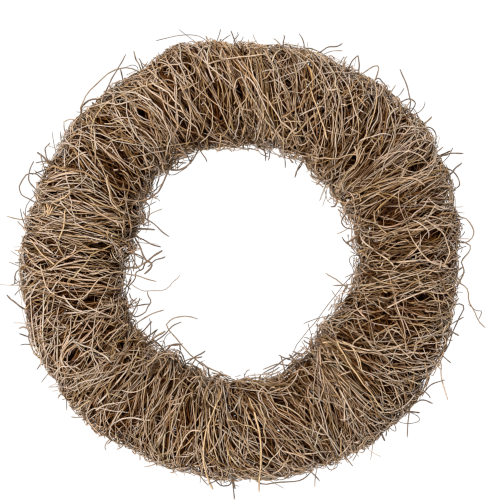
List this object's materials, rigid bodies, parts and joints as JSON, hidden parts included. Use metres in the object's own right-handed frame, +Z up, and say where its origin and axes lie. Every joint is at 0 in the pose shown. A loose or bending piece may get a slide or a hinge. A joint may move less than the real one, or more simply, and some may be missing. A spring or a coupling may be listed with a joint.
{
  "type": "wreath base",
  "caption": "Round wreath base of thin vine roots wound turn after turn round a hidden steel wire hoop, with free root ends springing from it.",
  "frame": {"origin": "middle of the ring, on the surface that the wreath lies on", "axes": "+Z up, along the axis of the hole; +X to the right and +Y away, as seen from above in the picture"},
  "size_m": [0.3215, 0.3118, 0.0685],
  "materials": {
    "root": "dry weathered root bark, grey-brown, dull with a faint sheen",
    "wire": "dull drawn steel wire"
  },
  "bodies": {
    "root": {"root_turn_01": "root", "root_turn_02": "root", "root_turn_03": "root", "root_turn_04": "root", "root_turn_05": "root", "root_turn_06": "root", "root_turn_07": "root", "root_turn_08": "root", "root_turn_09": "root", "root_turn_10": "root", "root_turn_11": "root", "root_turn_12": "root", "root_turn_13": "root", "root_turn_14": "root", "root_turn_15": "root", "root_turn_16": "root", "root_turn_17": "root", "root_turn_18": "root", "root_turn_19": "root", "root_turn_20": "root", "root_turn_21": "root", "root_turn_22": "root", "root_turn_23": "root", "root_turn_24": "root", "wire_hoop": "wire"}
  },
  "joints": []
}
